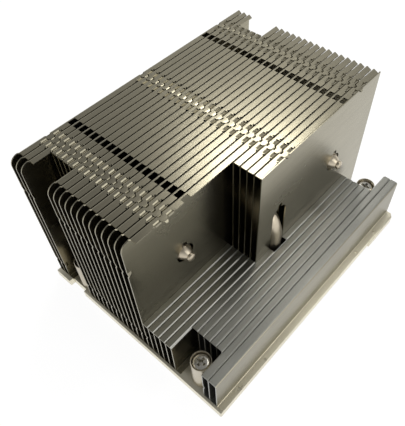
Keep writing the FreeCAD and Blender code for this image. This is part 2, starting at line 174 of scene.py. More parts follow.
class FinishSettings(bpy.types.PropertyGroup):
    """Colours of the metals; those of the low fins and of the last fin's outer side hold painted
    light
    """
    fins: bpy.props.FloatVectorProperty(
        name="Fins", description="Colour of the tall fins", subtype="COLOR", size=3,
        default=(0.345, 0.32, 0.24))
    # The low fins' cooler grey is painted reflected window light.
    low_fins: bpy.props.FloatVectorProperty(
        name="Low fins", description="Colour of the low fins", subtype="COLOR", size=3,
        default=(0.37, 0.37, 0.34))
    # The outer side's own tone is painted light, set for how light falls on that side of the last
    # fin.
    outer: bpy.props.FloatVectorProperty(
        name="Outer side", description="Colour of the last fin's outer side",
        subtype="COLOR", size=3, default=(0.32, 0.30, 0.235))
    plate: bpy.props.FloatVectorProperty(
        name="Base plate", description="Colour of the plated base", subtype="COLOR", size=3,
        default=(0.80, 0.755, 0.61))
    pipes: bpy.props.FloatVectorProperty(
        name="Heat pipes", description="Colour of the plated pipes", subtype="COLOR", size=3,
        default=(0.60, 0.53, 0.41))
    cups: bpy.props.FloatVectorProperty(
        name="Screw cups", description="Colour of the turned cups", subtype="COLOR", size=3,
        default=(0.56, 0.51, 0.41))
    screws: bpy.props.FloatVectorProperty(
        name="Screws", description="Colour of the bright screws", subtype="COLOR", size=3,
        default=(0.68, 0.66, 0.60))
    dark_steel: bpy.props.FloatVectorProperty(
        name="Rings and springs", description="Colour of the spring steel", subtype="COLOR", size=3,
        default=(0.30, 0.29, 0.27))


class StageSettings(bpy.types.PropertyGroup):
    """Colour of the floor and strength of the lights"""
    floor: bpy.props.FloatVectorProperty(
        name="Floor", description="Colour of the floor", subtype="COLOR", size=3,
        default=(0.85, 0.85, 0.85))
    window_light: bpy.props.FloatProperty(
        name="Window light", description="Power of the soft light behind the fins, in watts",
        subtype="POWER", default=0.46)
    lamp_light: bpy.props.FloatProperty(
        name="Lamp light", description="Power of the soft lamp over the fins, in watts",
        subtype="POWER", default=0.4)
    side_light: bpy.props.FloatProperty(
        name="Side light", description="Power of the soft light on the low side, in watts",
        subtype="POWER", default=1.2)
    ceiling: bpy.props.FloatProperty(
        name="Ceiling", description="Brightness of the studio's ceiling", subtype="FACTOR",
        default=0.22)


# ---------------------------------------------------------------- modelling helpers
def nothing():
    """Deselect everything, in object mode."""
    if bpy.context.mode != "OBJECT":
        bpy.ops.object.mode_set(mode="OBJECT")
    bpy.ops.object.select_all(action="DESELECT")


def alone(piece):
    """Make one piece the only selected and active object."""
    nothing()
    piece.select_set(True)
    bpy.context.view_layer.objects.active = piece


def edit_whole(piece):
    """Open one piece in edit mode with all of it selected."""
    alone(piece)
    bpy.ops.object.mode_set(mode="EDIT")
    bpy.ops.mesh.select_all(action="SELECT")


def middle(part):
    """Middle of a vertex, edge or face."""
    if isinstance(part, bmesh.types.BMVert):
        return part.co
    corners = [vert.co for vert in part.verts]
    return sum(corners[1:], corners[0].copy()) / len(corners)


def pick(piece, kind, test):
    """Select the vertices, edges or faces whose middle passes a test, in edit mode."""
    bpy.ops.mesh.select_mode(type=kind)
    bpy.ops.mesh.select_all(action="DESELECT")
    form = bmesh.from_edit_mesh(piece.data)
    parts = {"VERT": form.verts, "EDGE": form.edges, "FACE": form.faces}[kind]
    for part in parts:
        if test(*middle(part)):
            part.select_set(True)
    form.select_flush_mode()
    bmesh.update_edit_mesh(piece.data)


def near(value, target):
    """True where two lengths are the same."""
    return abs(value - target) < 0.02


def anywhere(x, y, z):
    """A test that every vertex, edge and face passes."""
    return True


def slice_faces(piece, test, point, normal):
    """Cut an edge line across the faces that pass a test."""
    pick(piece, "FACE", test)
    bpy.ops.mesh.bisect(plane_co=point, plane_no=normal, threshold=0.0001)


def fold(piece, test, reach, radius):
    """Extrude edges into a flange and round the fold between."""
    pick(piece, "EDGE", test)
    bpy.ops.mesh.extrude_region_move(TRANSFORM_OT_translate={"value": reach})
    pick(piece, "EDGE", test)
    bpy.ops.mesh.bevel(offset=radius, segments=3, affect="EDGES")


def move(value):
    """Move what is selected."""
    bpy.ops.transform.translate(value=value)


def apply(piece, kind, **values):
    """Add a modifier, set it and apply it."""
    alone(piece)
    modifier = piece.modifiers.new(kind.lower(), kind)
    for name, value in values.items():
        setattr(modifier, name, value)
    bpy.ops.object.modifier_apply(modifier=modifier.name)


def carve(piece, cutter):
    """Cut a piece with another and remove the other."""
    apply(piece, "BOOLEAN", operation="DIFFERENCE", solver="EXACT", object=cutter)
    bpy.data.objects.remove(cutter)


def merge(piece):
    """Merge vertices that lie on each other and close the smallest holes."""
    edit_whole(piece)
    bpy.ops.mesh.remove_doubles(threshold=0.002)
    bpy.ops.mesh.fill_holes(sides=4)
    bpy.ops.object.mode_set(mode="OBJECT")


def block(x0, x1, y0, y1, z0, z1):
    """A block between two corners."""
    nothing()
    bpy.ops.mesh.primitive_cube_add(size=1, location=((x0 + x1) / 2, (y0 + y1) / 2, (z0 + z1) / 2))
    piece = bpy.context.object
    piece.scale = (x1 - x0, y1 - y0, z1 - z0)
    bpy.ops.object.transform_apply()
    return piece


def rod(radius, start, end, sides, axis="Z"):
    """A round rod between two points, along Z or X."""
    nothing()
    turn = (0, math.pi / 2, 0) if axis == "X" else (0, 0, 0)
    centre = [(a + b) / 2 for a, b in zip(start, end)]
    bpy.ops.mesh.primitive_cylinder_add(
        vertices=sides, radius=radius, depth=math.dist(start, end), location=centre, rotation=turn)
    piece = bpy.context.object
    bpy.ops.object.transform_apply()
    return piece


def lathe(rings, x, y, sides, closed=False):
    """Turn a piece about an upright axis, ring by ring, from (radius, height) pairs."""
    nothing()
    radius, z = rings[0]
    bpy.ops.mesh.primitive_circle_add(
        vertices=sides, radius=radius, fill_type="NOTHING" if closed else "NGON",
        location=(0, 0, z))
    piece = bpy.context.object
    bpy.ops.object.transform_apply()
    bpy.ops.object.mode_set(mode="EDIT")
    pick(piece, "EDGE", anywhere)
    for next_radius, next_z in rings[1:]:
        bpy.ops.mesh.extrude_edges_move(TRANSFORM_OT_translate={"value": (0, 0, next_z - z)})
        ratio = next_radius / radius
        bpy.ops.transform.resize(value=(ratio, ratio, 1), center_override=(0, 0, 0))
        radius, z = next_radius, next_z
    if closed:
        bpy.ops.mesh.select_all(action="SELECT")
        bpy.ops.mesh.remove_doubles(threshold=0.0005)
    else:
        bpy.ops.mesh.edge_face_add()
    bpy.ops.mesh.select_all(action="SELECT")
    bpy.ops.mesh.normals_make_consistent(inside=False)
    move((x, y, 0))
    bpy.ops.object.mode_set(mode="OBJECT")
    return piece


def finish(piece, name, node, look, body="heatsink", smooth=35):
    """Bring a piece to metres, name it, smooth it, give it its finish and let it ride."""
    alone(piece)
    piece.scale = (MM, MM, MM)
    bpy.ops.object.transform_apply()
    bpy.ops.object.shade_smooth_by_angle(angle=math.radians(smooth))
    piece.name = name
    piece.data.name = name
    piece.data.materials.clear()
    piece.data.materials.append(material(look))
    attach(piece, body)
    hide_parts(node)
    return piece


# ---------------------------------------------------------------- finishes
def new_group(name, inputs, outputs):
    """A shader node group with float inputs and the given outputs."""
    group = bpy.data.node_groups.new(name, "ShaderNodeTree")
    for label, default in inputs.items():
        socket = group.interface.new_socket(
            name=label, in_out="INPUT", socket_type="NodeSocketFloat")
        socket.default_value = default
    for label in outputs:
        group.interface.new_socket(name=label, in_out="OUTPUT", socket_type="NodeSocketFloat")
    return group, group.nodes.new("NodeGroupInput"), group.nodes.new("NodeGroupOutput")


def maths(tree, operation, first, second, clamp=False):
    """A Math node between two sockets or values; gives its output."""
    node = tree.nodes.new("ShaderNodeMath")
    node.operation = operation
    node.use_clamp = clamp
    for socket, value in zip(node.inputs, (first, second)):
        if isinstance(value, (int, float)):
            socket.default_value = value
        else:
            tree.links.new(value, socket)
    return node.outputs[0]


def noise(tree, vector, scale, detail, roughness):
    """A noise texture whose scale comes from a socket; gives its value."""
    node = tree.nodes.new("ShaderNodeTexNoise")
    node.inputs["Detail"].default_value = detail
    node.inputs["Roughness"].default_value = roughness
    tree.links.new(scale, node.inputs["Scale"])
    tree.links.new(vector, node.inputs["Vector"])
    return node.outputs[0]


def stretched(tree, scale):
    """Object coordinates, stretched by a Mapping node."""
    place = tree.nodes.new("ShaderNodeTexCoord")
    mapping = tree.nodes.new("ShaderNodeMapping")
    mapping.inputs["Scale"].default_value = scale
    tree.links.new(place.outputs["Object"], mapping.inputs["Vector"])
    return mapping.outputs[0]


def rolled_grain():
    """Long fine streaks along the fins, as rolling leaves them."""
    group, entry, end = new_group("rolled grain", {"Fineness": 1.0}, ("Streak", "Height"))
    fineness = entry.outputs["Fineness"]
    long_way = stretched(group, (1.0, 0.025, 1.0))
    coarse_scale = maths(group, "MULTIPLY", fineness, 900.0)
    coarse = noise(group, long_way, coarse_scale, detail=4.0, roughness=0.6)
    fine_scale = maths(group, "MULTIPLY", fineness, 5200.0)
    fine = noise(group, long_way, fine_scale, detail=3.0, roughness=0.65)
    both = maths(group, "ADD", maths(group, "MULTIPLY", coarse, 0.6),
                 maths(group, "MULTIPLY", fine, 0.4))
    group.links.new(both, end.inputs["Streak"])
    group.links.new(fine, end.inputs["Height"])
    return group


def handling():
    """Soft clouds and small specks where flux and hands have dulled the metal."""
    group, entry, end = new_group("handling marks", {"Scale": 60.0, "Clouds": 0.2, "Specks": 0.1},
                                  ("Cloud", "Dulling"))
    place = stretched(group, (1.0, 0.6, 1.0))
    cloud = noise(group, place, entry.outputs["Scale"], detail=5.0, roughness=0.6)
    speck_scale = maths(group, "MULTIPLY", entry.outputs["Scale"], 28.0)
    speck = noise(group, place, speck_scale, detail=2.0, roughness=0.5)
    cloud = maths(group, "MULTIPLY", maths(group, "SUBTRACT", cloud, 0.35), 3.0, True)
    speck = maths(group, "MULTIPLY", maths(group, "SUBTRACT", speck, 0.5), 4.0, True)
    dulling = maths(group, "ADD", maths(group, "MULTIPLY", cloud, entry.outputs["Clouds"]),
                    maths(group, "MULTIPLY", speck, entry.outputs["Specks"]), True)
    group.links.new(cloud, end.inputs["Cloud"])
    group.links.new(dulling, end.inputs["Dulling"])
    return group


def metal(name, colour, rough, streak, cloud, speck, bump=0.15):
    """A bare or plated metal with rolled grain and handling marks."""
    mark_depth, rough_spread, bump_height = 1.6, 0.04, 0.00005
    made = bpy.data.materials.new(name)
    made.use_nodes = True
    tree = made.node_tree
    shader = tree.nodes["Principled BSDF"]
    shader.inputs["Metallic"].default_value = 1.0
    lines = tree.nodes.new("ShaderNodeGroup")
    lines.node_tree = bpy.data.node_groups["rolled grain"]
    marks = tree.nodes.new("ShaderNodeGroup")
    marks.node_tree = bpy.data.node_groups["handling marks"]
    marks.inputs["Clouds"].default_value = cloud
    marks.inputs["Specks"].default_value = speck
    light = tuple(min(1.0, value * (1 + streak)) for value in colour)
    dark = tuple(value * (1 - streak) for value in colour)
    dull = tuple(value * (1 - cloud * mark_depth) for value in colour)

    shade = tree.nodes.new("ShaderNodeMix")
    shade.data_type = "RGBA"
    shade.inputs["A"].default_value = (*dark, 1)
    shade.inputs["B"].default_value = (*light, 1)
    tree.links.new(lines.outputs["Streak"], shade.inputs["Factor"])
    dulled = tree.nodes.new("ShaderNodeMix")
    dulled.data_type = "RGBA"
    dulled.inputs["B"].default_value = (*dull, 1)
    tree.links.new(shade.outputs["Result"], dulled.inputs["A"])
    tree.links.new(marks.outputs["Dulling"], dulled.inputs["Factor"])
    tree.links.new(dulled.outputs["Result"], shader.inputs["Base Color"])

    spread = maths(tree, "MULTIPLY", marks.outputs["Cloud"], rough_spread)
    tree.links.new(maths(tree, "ADD", spread, rough, True), shader.inputs["Roughness"])
    relief = tree.nodes.new("ShaderNodeBump")
    relief.inputs["Strength"].default_value = bump
    relief.inputs["Distance"].default_value = bump_height
    tree.links.new(lines.outputs["Height"], relief.inputs["Height"])
    tree.links.new(relief.outputs["Normal"], shader.inputs["Normal"])
    return made


def finishes():
    """Every metal of the heatsink, made once."""
    if "rolled fin sheet" in bpy.data.materials:
        return
    rolled_grain()
    handling()
    colours = bpy.context.scene.heatsink_finish
    metal("rolled fin sheet", colours.fins, 0.24, streak=0.22, cloud=0.18, speck=0.08)
    # The low fin sheet's specks are grain; its cooler grey is painted reflected window light.
    metal("low fin sheet", colours.low_fins, 0.34, streak=0.20, cloud=0.12, speck=0.35)
    # A copy of the fin sheet for the last fin's outer side, its tone painted for the light on that
    # side.
    metal("outer sheet", colours.outer, 0.36, streak=0.15, cloud=0.25, speck=0.15)
    metal("plated base", colours.plate, 0.36, streak=0.12, cloud=0.25, speck=0.10)
    metal("nickel plated pipe", colours.pipes, 0.30, streak=0.08, cloud=0.30, speck=0.15, bump=0.1)
    metal("turned cup", colours.cups, 0.30, streak=0.08, cloud=0.25, speck=0.15)
    metal("bright screw", colours.screws, 0.20, streak=0.05, cloud=0.15, speck=0.10, bump=0.05)
    metal("spring steel", colours.dark_steel, 0.32, streak=0.10, cloud=0.15, speck=0.15)


def material(name):
    """A finish by its name."""
    finishes()
    return bpy.data.materials[name]


# ---------------------------------------------------------------- fins
def fin_node(number):
    """Name of a fin's CAD node."""
    return "fin_%02d" % number


def fin_x(number):
    """Left face of a fin, counted from 1."""
    x = FIRST_X + (number - 1) * PITCH
    return x + LAST_GAP - PITCH if number == FINS else x


def fin_ends(number):
    """Front and back of a fin, shorter at the notches round the screws."""
    if number in LEFT_NOTCH or number in RIGHT_NOTCH:
        return low(fin_node(number))[1], high(fin_node(number))[1]
    return FRONT, BACK


def upright_sheet(x, y0, y1, z0, z1):
    """A flat web, open to edit."""
    nothing()
    bpy.ops.mesh.primitive_plane_add(
        size=1, location=(x, (y0 + y1) / 2, (z0 + z1) / 2), rotation=(0, -math.pi / 2, 0))
    piece = bpy.context.object
    piece.scale = (z1 - z0, y1 - y0, 1)
    bpy.ops.object.transform_apply()
    bpy.ops.object.mode_set(mode="EDIT")
    return piece


def bent_tabs(piece, edge, row, sizes):
    """Two tabs, slit at their ends and bent down, and the tooth between them."""
    tooth, inner, outer, slit, slack = 0.8, 1.2, 3.5, 0.14, 0.05
    strip, crease_width = 1.6, 0.3
    root = edge - sizes.tab_width
    crease = root - crease_width

    def on_flange(x, y, z):
        return near(z, TOP) and x > edge - strip

    def in_row(x, y, z):
        return near(z, TOP) and abs(y - row) < outer

    def in_slit(x, y, z):
        away = abs(y - row)
        ends = inner < away < inner + slit or outer - slit < away < outer
        return near(z, TOP) and x > crease and ends

    def tab_root(x, y, z):
        return near(x, root) and inner + slack < abs(y - row) < outer - slack

    for away in (tooth, inner, inner + slit, outer - slit, outer):
        for side in (-1, 1):
            slice_faces(piece, on_flange, (0, row + side * away, 0), (0, 1, 0))
    for line in (crease, root):
        slice_faces(piece, in_row, (line, 0, 0), (1, 0, 0))
    pick(piece, "FACE", in_slit)
    bpy.ops.mesh.delete(type="FACE")
    pick(piece, "VERT", tab_root)
    move((0, 0, -sizes.tab_drop))

    pick(piece, "EDGE", lambda x, y, z: near(x, edge) and near(y, row) and near(z, TOP))
    for reach, narrower in (((0.55, 0, -0.08), 0.8), ((0.38, 0, -0.55), 0.55)):
        bpy.ops.mesh.extrude_edges_move(TRANSFORM_OT_translate={"value": reach})
        bpy.ops.transform.resize(value=(1, narrower, 1), center_override=(edge, row, TOP))


def edge_jogs(piece, x, y0, levels, jog):
    """Small sideways jogs pressed into the front edge."""
    half_height, depth = 1.1, 1.2
    strip, reach = 8, 45
    for level in levels:
        def around(px, py, pz):
            return near(px, x) and py < y0 + strip and abs(pz - level) < reach

        def beside(px, py, pz):
            return near(px, x) and abs(pz - level) < half_height

        for z in (level - half_height, level, level + half_height):
            slice_faces(piece, around, (0, 0, z), (0, 0, 1))
        slice_faces(piece, beside, (0, y0 + depth, 0), (0, 1, 0))
        pick(piece, "VERT", lambda px, py, pz: near(py, y0) and near(pz, level))
        move((jog, 0, 0))


def thicken(piece, sizes):
    """Turn the folds the right way and give the sheet its thickness."""
    bpy.ops.mesh.select_all(action="SELECT")
    bpy.ops.mesh.normals_make_consistent(inside=False)
    bpy.ops.object.mode_set(mode="OBJECT")
    web = max(piece.data.polygons, key=lambda face: face.area)
    if web.normal.x > 0:
        piece.data.flip_normals()
    apply(piece, "SOLIDIFY", thickness=sizes.sheet, offset=-1, use_even_offset=True)


def pipe_bend(name):
    """Side on which a heat pipe bends down, 1 for the right, and where its bend stands."""
    return (1, RIGHT_BEND_X) if name == "heat_pipe_middle" else (-1, LEFT_BEND_X)


def pipe_openings(piece, number, x):
    """Cut what a fin loses to the heat pipes that pass it."""
    x0, x1 = x - 1, x + PITCH
    radius = PIPE_R + PIPE_GAP
    leg_half = radius - 0.03
    foot_half = 4.5
    bend_foot, flat_foot = 9, 1.2
    vent_r, vent_height = 1.1, 4.1
    for name, y in PIPES.items():
        if name == "heat_pipe_front" and number > TALL_FINS:
            continue
        side, bend_x = pipe_bend(name)
        inwards = side * (bend_x - x)
        foot_y = (y - foot_half, y + foot_half)
        if inwards < BEND_R - 1:
            carve(piece, block(x0, x1, y - leg_half, y + leg_half, 0, PIPE_Z))
            carve(piece, block(x0, x1, *foot_y, 0, PLATE_TOP + bend_foot))
        carve(piece, rod(radius, (x0, y, PIPE_Z), (x1, y, PIPE_Z), 40, "X"))
        z = PIPE_Z + vent_height
        carve(piece, rod(vent_r, (x0, y, z), (x1, y, z), 20, "X"))
        if BEND_R - 1 <= inwards < BEND_R + PITCH:
            carve(piece, block(x0, x1, *foot_y, 0, PLATE_TOP + flat_foot))


def tall_fin(number, sizes):
    """A fin that is tall over its whole length, or behind the step."""
    x = fin_x(number)
    y0, y1 = fin_ends(number)
    stepped = number > TALL_FINS
    flanged = number < LAST_TALL
    edge = x + PITCH - sizes.seam
    flange_y = STEP_Y if stepped else max(y0, FLANGE_START)
    low_z = LOW_TOP - sizes.sheet
    piece = upright_sheet(x, y0, y1, PLATE_TOP, TOP)
    slice_faces(piece, anywhere, (0, flange_y, 0), (0, 1, 0))
    if stepped:
        slice_faces(piece, anywhere, (0, 0, low_z), (0, 0, 1))
        pick(piece, "FACE", lambda px, py, pz: py < flange_y and pz > low_z)
        bpy.ops.mesh.delete(type="FACE")
        fold(piece, lambda px, py, pz: near(px, x) and near(pz, low_z) and py < flange_y,
             (-(PITCH - sizes.sheet - sizes.low_seam), 0, 0), sizes.low_fold - sizes.sheet)
    if flanged:
        fold(piece, lambda px, py, pz: near(px, x) and near(pz, TOP) and py > flange_y,
             (PITCH - sizes.seam, 0, 0), sizes.fold)
    fold(piece, lambda px, py, pz: near(px, x) and near(pz, PLATE_TOP),
         (PITCH - sizes.seam, 0, 0), sizes.fold)
    rows = [row for row in ROWS if row > flange_y]
    if flanged:
        for row in rows:
            bent_tabs(piece, edge, row, sizes)
    if flanged and y1 == BACK:
        pick(piece, "VERT", lambda px, py, pz: near(px, edge) and near(py, y1) and near(pz, TOP))
        move((0, -CORNER_SLOPE, 0))
    if y0 == FRONT:
        levels = (LOW_JOG,) if stepped else (HIGH_JOG, LOW_JOG)
        edge_jogs(piece, x, y0, levels, sizes.jog)
    if y0 == FRONT and not stepped:
        pick(piece, "VERT", lambda px, py, pz: near(py, y0) and near(pz, TOP))
        bpy.ops.mesh.bevel(offset=CORNER_R, segments=7, affect="VERTICES")
    thicken(piece, sizes)

    if flanged:
        for y in WINDOWS:
            if y > flange_y:
                left = x + sizes.window_bar
                carve(piece, block(left, edge + 1, y, y + WINDOW_LENGTH, TOP - 2, TOP + 1))
    for row in rows:
        row_openings(piece, x, edge, row, y1, flanged)
    pipe_openings(piece, number, x)
    if not flanged:
        merge(piece)
    return piece


def row_openings(piece, x, edge, row, y1, flanged):
    """Cut the socket that takes a tooth, and a small hole beyond each tab."""
    socket_r, socket_depth, socket_x = 1.02, 0.62, x + 0.2
    hole_r, hole_away, hole_x = 0.36, 4.0, edge - 0.12
    carve(piece, rod(socket_r, (socket_x, row, TOP - socket_depth), (socket_x, row, TOP + 1), 6))
    for side in (-1, 1):
        y = row + side * hole_away
        if flanged and y < y1:
            carve(piece, rod(hole_r, (hole_x, y, TOP - 1), (hole_x, y, TOP + 1), 6))


def low_fin(number, sizes):
    """A fin that is low over its whole length."""
    x = fin_x(number)
    y0, y1 = fin_ends(number)
    low_z = LOW_TOP - sizes.sheet
    piece = upright_sheet(x, y0, y1, PLATE_TOP, low_z)
    start, end = y0, y1
    if number == RIGHT_NOTCH.stop:
        start, end = fin_ends(RIGHT_NOTCH.start)
        for y in (start, end):
            slice_faces(piece, anywhere, (0, y, 0), (0, 1, 0))
    gap = LAST_GAP if number == FINS else PITCH
    fold(piece, lambda px, py, pz: near(px, x) and near(pz, low_z) and start < py < end,
         (-(gap - sizes.sheet - sizes.low_seam), 0, 0), sizes.low_fold - sizes.sheet)
    reach = high(fin_node(FINS))[0] - x if number == FINS else PITCH - sizes.seam
    if number == FINS - 1:
        reach = LAST_GAP - sizes.seam
    fold(piece, lambda px, py, pz: near(px, x) and near(pz, PLATE_TOP),
         (reach, 0, 0), sizes.fold)
    if y0 == FRONT:
        edge_jogs(piece, x, y0, (LOW_JOG,), sizes.jog)
    if number == FINS:
        ledge_corner = 0.9
        pick(piece, "VERT", lambda px, py, pz: near(px, x + reach) and near(pz, PLATE_TOP))
        bpy.ops.mesh.bevel(offset=ledge_corner, segments=4, affect="VERTICES")
    thicken(piece, sizes)
    if number == LAST_TALL + 1:
        y = PIPES["heat_pipe_middle"]
        half = PIPE_R + PIPE_GAP
        carve(piece, block(x - PITCH, x - sizes.seam, y - half, y + half, 10, LOW_TOP + 5))
    if number == FINS:
        ledge_marks(piece)
    return piece


def ledge_marks(piece):
    """Crosses and keyholes punched into the ledge of the last fin, open at its edge."""
    z0, z1 = PLATE_TOP - 1, PLATE_TOP + 1
    edge = high(fin_node(FINS))[0]
    open_end = edge + 0.1
    slot_half, cross_half = 0.24, 1.2
    for y in (FRONT + 9.0, FRONT + 90.0):
        carve(piece, block(edge - 1.7, open_end, y - slot_half, y + slot_half, z0, z1))
        carve(piece, block(edge - 0.9, edge - 0.45, y - cross_half, y + cross_half, z0, z1))
    hole_r, neck_half = 0.55, 0.2
    hole_x = edge - 0.75
    for y in (FRONT + 21.8, FRONT + 77.5):
        carve(piece, rod(hole_r, (hole_x, y, z0), (hole_x, y, z1), 12))
        carve(piece, block(hole_x, open_end, y - neck_half, y + neck_half, z0, z1))


def paint_cool_light_on_low_flange(piece):
    """Give the low flange of a stepped fin the cooler colour of the low fins, painted light
    standing for the window light these flanges reflect.
    """
    piece.data.materials.append(material("low fin sheet"))
    for face in piece.data.polygons:
        if face.normal.z > 0.1 and abs(face.center.z - LOW_TOP * MM) < 1.0 * MM:
            face.material_index = 1


def paint_light_on_last_fin(piece):
    """Paint light on the last fin: its outer face gets its own tone of the sheet and its ledge the
    brighter plate finish, for how light falls on them.
    """
    piece.data.materials.append(material("outer sheet"))
    piece.data.materials.append(material("plated base"))
    for face in piece.data.polygons:
        # Painted light: the ledge takes the brighter plate finish and the outward face its own tone
        # of the sheet.
        if face.center.z < (PLATE_TOP + 0.6) * MM:
            face.material_index = 2
        elif face.normal.x > 0.5:
            face.material_index = 1


def fin_key(number):
    """Fins with the same key are alike but for their place."""
    if number > LAST_TALL:
        return "low in the notch" if number in RIGHT_NOTCH[1:] else number
    near_left = fin_x(number) - LEFT_BEND_X < BEND_R + PITCH
    near_right = RIGHT_BEND_X - fin_x(number) < BEND_R + PITCH
    if near_left or near_right or number == LAST_TALL:
        return number
    return (number in LEFT_NOTCH, number > TALL_FINS)


def make_fins(numbers, make, look):
    """Make fins, or copy one that is alike, and finish each."""
    sizes = bpy.context.scene.heatsink_fins
    masters = {}
    for number in numbers:
        key = fin_key(number)
        if key in masters:
            first, mesh = masters[key]
            piece = bpy.data.objects.new("fin", mesh.copy())
            bpy.context.scene.collection.objects.link(piece)
            piece.data.transform(Matrix.Translation((fin_x(number) - fin_x(first), 0, 0)))
        else:
            piece = make(number, sizes)
            masters[key] = (number, piece.data.copy())
        node = fin_node(number)
        finish(piece, "folded_" + node, node, look, smooth=10)
        # The last fin and the low flanges of the stepped fins get painted light.
        if number == FINS:
            paint_light_on_last_fin(piece)
        if TALL_FINS < number <= LAST_TALL:
            paint_cool_light_on_low_flange(piece)


class HEATSINK_OT_tall_fins(bpy.types.Operator):
    """Fold the fins that are tall over their whole length"""
    bl_idname = "heatsink.tall_fins"
    bl_label = "Tall fins"

    def execute(self, context):
        make_fins(range(1, TALL_FINS + 1), tall_fin, "rolled fin sheet")
        return {"FINISHED"}


class HEATSINK_OT_stepped_fins(bpy.types.Operator):
    """Fold the fins that are tall behind the step"""
    bl_idname = "heatsink.stepped_fins"
    bl_label = "Stepped fins"

    def execute(self, context):
        make_fins(range(TALL_FINS + 1, LAST_TALL + 1), tall_fin, "rolled fin sheet")
        return {"FINISHED"}


class HEATSINK_OT_low_fins(bpy.types.Operator):
    """Fold the low fins beside the stack"""
    bl_idname = "heatsink.low_fins"
    bl_label = "Low fins"

    def execute(self, context):
        make_fins(range(LAST_TALL + 1, FINS + 1), low_fin, "low fin sheet")
        return {"FINISHED"}


# ---------------------------------------------------------------- heat pipes
def heat_pipe(name):
    """A swaged heat pipe: upper leg, bend, and a leg flattened into the base plate."""
    y = PIPES[name]
    side, bend_x = pipe_bend(name)
    inner_x = bend_x - side * BEND_R
    tip = PIPE_ENDS[name]
    along, radius = PIPE_TIP[0]
    nothing()
    bpy.ops.mesh.primitive_circle_add(
        vertices=32, radius=radius, fill_type="NGON", location=(tip, y, PIPE_Z),
        rotation=(0, math.pi / 2, 0))
    piece = bpy.context.object
    bpy.ops.object.transform_apply()
    bpy.ops.object.mode_set(mode="EDIT")
    pick(piece, "EDGE", anywhere)
    for next_along, next_radius in PIPE_TIP[1:]:
        step = side * (next_along - along)
        bpy.ops.mesh.extrude_edges_move(TRANSFORM_OT_translate={"value": (step, 0, 0)})
        ratio = next_radius / radius
        bpy.ops.transform.resize(value=(1, ratio, ratio), center_override=(0, y, PIPE_Z))
        along, radius = next_along, next_radius
    run = inner_x - (tip + side * along)
    bpy.ops.mesh.extrude_edges_move(TRANSFORM_OT_translate={"value": (run, 0, 0)})
    upper_z = PIPE_Z - BEND_R
    lower_z = PIPE_FLAT_Z + BEND_R
    quarter = -side * math.pi / 2
    bpy.ops.mesh.spin(steps=12, angle=quarter, center=(inner_x, y, upper_z), axis=(0, 1, 0))
    bpy.ops.mesh.extrude_edges_move(TRANSFORM_OT_translate={"value": (0, 0, lower_z - upper_z)})
    bpy.ops.mesh.spin(steps=12, angle=quarter, center=(inner_x, y, lower_z), axis=(0, 1, 0))
    bpy.ops.mesh.extrude_edges_move(TRANSFORM_OT_translate={"value": (-side * FLAT_LEG, 0, 0)})
    bpy.ops.mesh.edge_face_add()
    bpy.ops.mesh.select_all(action="SELECT")
    bpy.ops.mesh.remove_doubles(threshold=0.001)
    bpy.ops.mesh.normals_make_consistent(inside=False)
    bpy.ops.object.mode_set(mode="OBJECT")
    flatten(piece, y, inner_x, lower_z, side)
    return piece


def flatten(piece, y, inner_x, lower_z, side):
    """Flatten the lower bend little by little, and the leg after it."""
    for vert in piece.data.vertices:
        across = (vert.co.x - inner_x) * side
        if vert.co.z > lower_z:
            continue
        if across > 0:
            out = math.hypot(across, vert.co.z - lower_z)
            turn = math.atan2(lower_z - vert.co.z, across)
        else:
            out = lower_z - vert.co.z
            turn = math.pi / 2
        share = min(1.0, turn / (math.pi / 2))
        thick = 1 - share * (1 - FLAT_HALF_HEIGHT / PIPE_R)
        wide = 1 + share * (FLAT_HALF_WIDTH / PIPE_R - 1)
        new_out = BEND_R + (out - BEND_R) * thick
        vert.co.y = y + (vert.co.y - y) * wide
        if across > 0:
            vert.co.x = inner_x + side * new_out * math.cos(turn)
            vert.co.z = lower_z - new_out * math.sin(turn)
        else:
            vert.co.z = lower_z - new_out


class HEATSINK_OT_heat_pipes(bpy.types.Operator):
    """Bend and swage the heat pipes"""
    bl_idname = "heatsink.heat_pipes"
    bl_label = "Heat pipes"

    def execute(self, context):
        for name in PIPES:
            finish(heat_pipe(name), name.replace("heat", "swaged"), name,
                   "nickel plated pipe")
        return {"FINISHED"}


# ---------------------------------------------------------------- base plate
def screw_opening(plate, x, y, z0, z1):
    """Drill a screw hole and the round pocket under it."""
    pocket_r, pocket_depth = 4.0, 2.0
    carve(plate, rod(SCREW_HOLE_R, (x, y, z0 - 1), (x, y, z1 + 1), 48))
    carve(plate, rod(pocket_r, (x, y, z0 - 1), (x, y, z0 + pocket_depth), 48))


def pipe_groove(plate, name, y, z1):
    """Mill the groove that takes the flattened leg of a heat pipe."""
    half_width, half_height, overrun = 4.15, 1.22, 4.0
    side, bend_x = pipe_bend(name)
    start, end = sorted((bend_x + side * overrun, bend_x - side * (BEND_R + FLAT_LEG)))
    carve(plate, block(start, end, y - half_width, y + half_width, PIPE_FLAT_Z, z1 + 1))
    groove = rod(1.0, (start + 0.1, y, PIPE_FLAT_Z), (end - 0.1, y, PIPE_FLAT_Z), 32, "X")
    edit_whole(groove)
    bpy.ops.transform.resize(value=(1, FLAT_HALF_WIDTH, half_height),
                             center_override=(0, y, PIPE_FLAT_Z))
    bpy.ops.object.mode_set(mode="OBJECT")
    carve(plate, groove)


